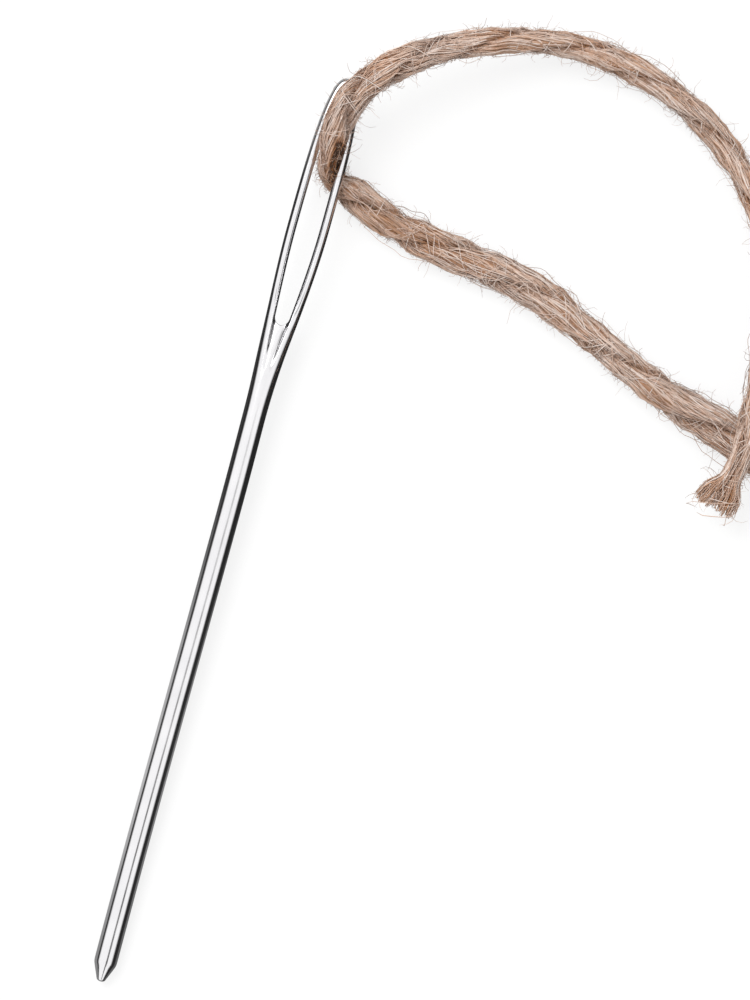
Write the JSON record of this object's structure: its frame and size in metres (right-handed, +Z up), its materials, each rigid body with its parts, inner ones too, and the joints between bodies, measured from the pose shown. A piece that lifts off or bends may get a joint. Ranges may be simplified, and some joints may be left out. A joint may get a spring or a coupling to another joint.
{
  "type": "yarn needle",
  "caption": "Blunt large-eye yarn needle of plated steel wire, with a long rounded slot for an eye, gutters below it, and a loose length of jute twine threaded through.",
  "frame": {"origin": "on the table, under the middle of the needle", "axes": "+Y along the needle from its point to its eye, +Z up and square to the table, +X across the eye to the side on which the twine lies"},
  "size_m": [0.044, 0.078, 0.006],
  "materials": {
    "plated_steel": "polished nickel plate",
    "jute": "hairy natural jute, two plies"
  },
  "bodies": {
    "twine": {"twine_bight": "jute", "twine_loop": "jute", "twine_tail": "jute"},
    "needle": {"needle_shank": "plated_steel", "needle_eye": "plated_steel"}
  },
  "joints": [
    {"name": "eye_slide", "type": "slide", "parent": "twine", "child": "needle", "axis": [0, 0.9994, 0.0333], "range_m": [0, 0.0065]}
  ]
}
